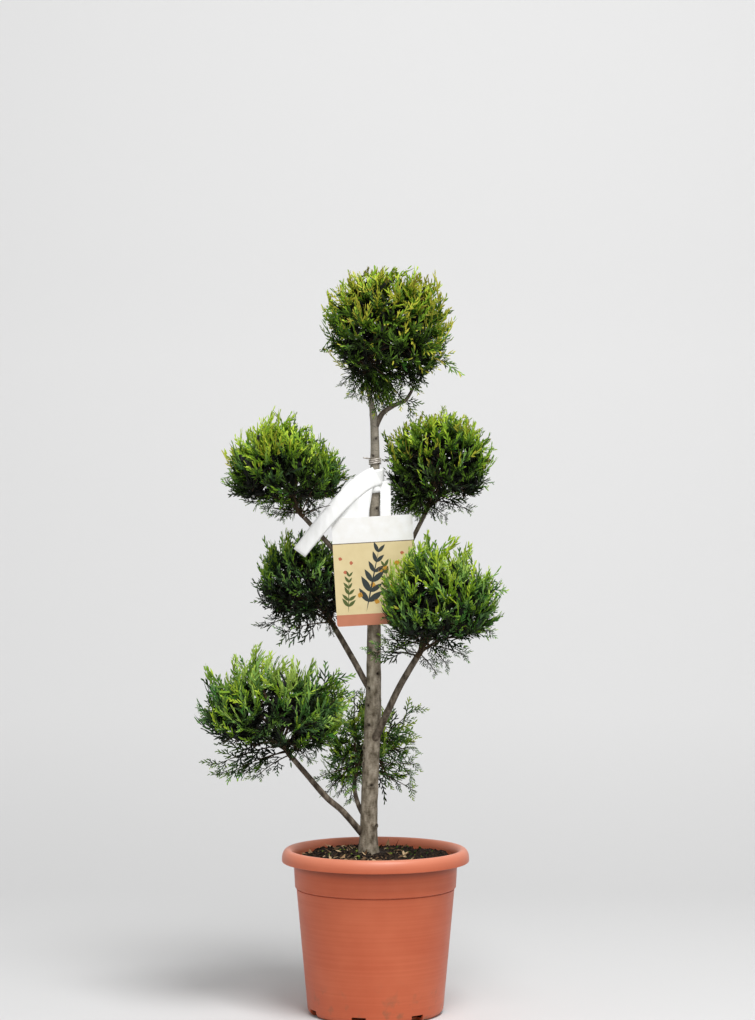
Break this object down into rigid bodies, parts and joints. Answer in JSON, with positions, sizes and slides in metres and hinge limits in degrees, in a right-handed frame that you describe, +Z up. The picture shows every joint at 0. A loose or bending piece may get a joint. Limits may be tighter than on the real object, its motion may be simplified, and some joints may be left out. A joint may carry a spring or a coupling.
{
  "type": "potted conifer pompon topiary",
  "caption": "Young conifer clipped into dense leafy pompons on bare boughs, in a rolled-rim terracotta-coloured plastic pot, with a plain card label strapped to its trunk.",
  "frame": {"origin": "centre of the pot's flat underside", "axes": "+Z up along the trunk, -Y towards the front, where the label hangs"},
  "size_m": [0.4041, 0.283, 0.9981],
  "materials": {
    "pot_plastic": "satin",
    "compost": "matte",
    "bark": "matte",
    "foliage": "matte",
    "label_card": "satin",
    "label_strap": "satin",
    "tie_wire": "satin"
  },
  "bodies": {
    "root": {"pot": "pot_plastic", "soil": "compost", "trunk": "bark", "bough_low_left": "bark", "bough_low_back": "bark", "bough_mid_left": "bark", "bough_mid_right": "bark", "bough_upper_left": "bark", "bough_upper_right": "bark", "bough_top_right": "bark", "pompon_top": "foliage", "pompon_upper_left": "foliage", "pompon_upper_right": "foliage", "pompon_mid_left": "foliage", "pompon_mid_right": "foliage", "pompon_low_left": "foliage", "pompon_low_back": "foliage", "label_card": "label_card", "label_strap": "label_strap", "wire_tie": "tie_wire"}
  },
  "joints": []
}
